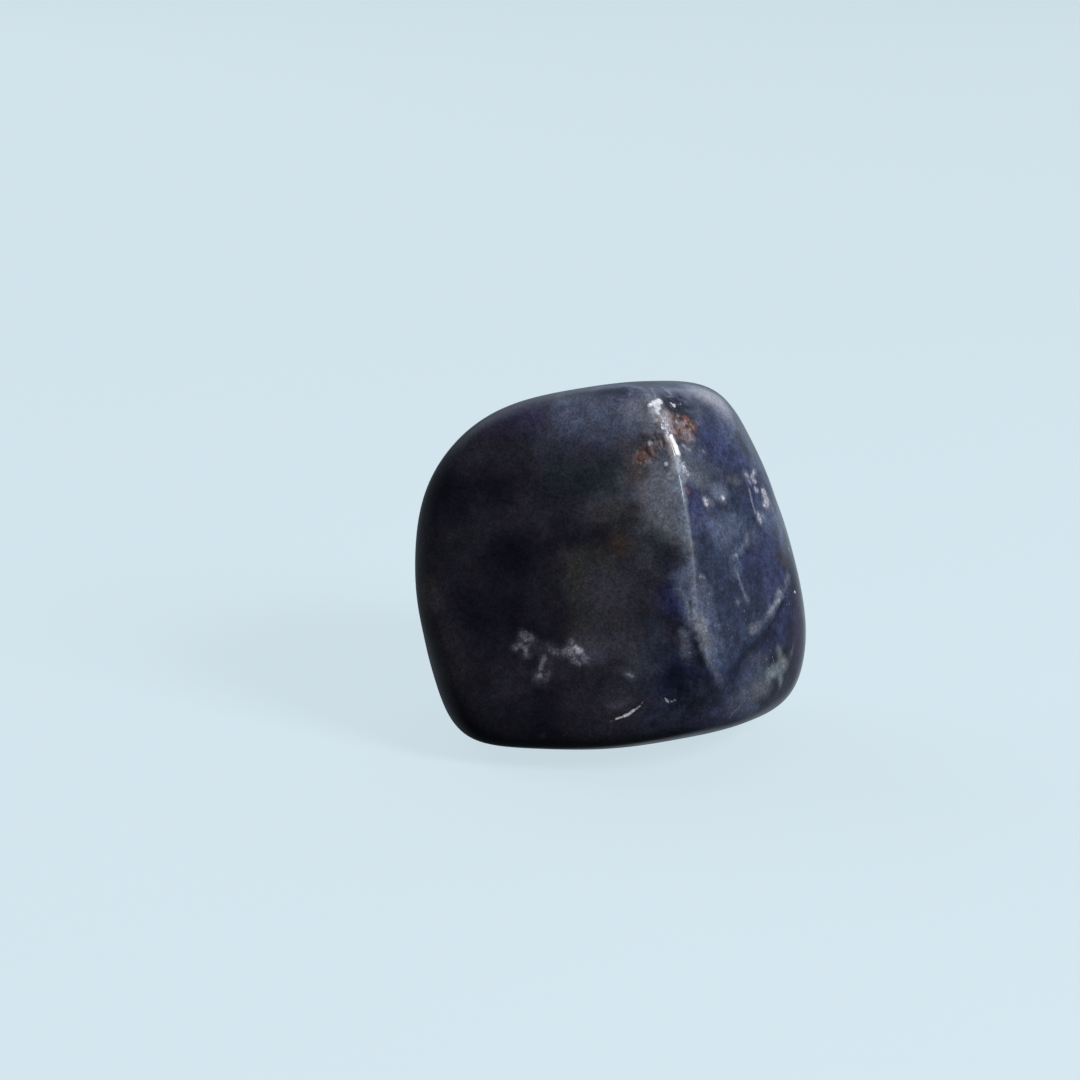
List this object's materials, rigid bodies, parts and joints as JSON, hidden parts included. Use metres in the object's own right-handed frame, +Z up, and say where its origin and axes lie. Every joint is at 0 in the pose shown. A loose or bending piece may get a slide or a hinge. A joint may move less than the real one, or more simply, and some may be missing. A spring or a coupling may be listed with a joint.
{
  "type": "tumbled sodalite stone",
  "caption": "Blocky, worn-round pebble of polished blue sodalite with a broad face that meets its neighbour at a crisp ridge, resting on a small flat spot.",
  "frame": {"origin": "middle of the stone's footprint, at the height of the flat spot that it rests on", "axes": "+Z up, -Y towards the broad face with the ridge, +X to the right as seen from there, along the stone's longest side"},
  "size_m": [0.0276, 0.0242, 0.0262],
  "materials": {
    "sodalite": "polished navy sodalite with grey-green clouds, white calcite flecks and small rust-brown pits"
  },
  "bodies": {
    "root": {"stone": "sodalite"}
  },
  "joints": []
}
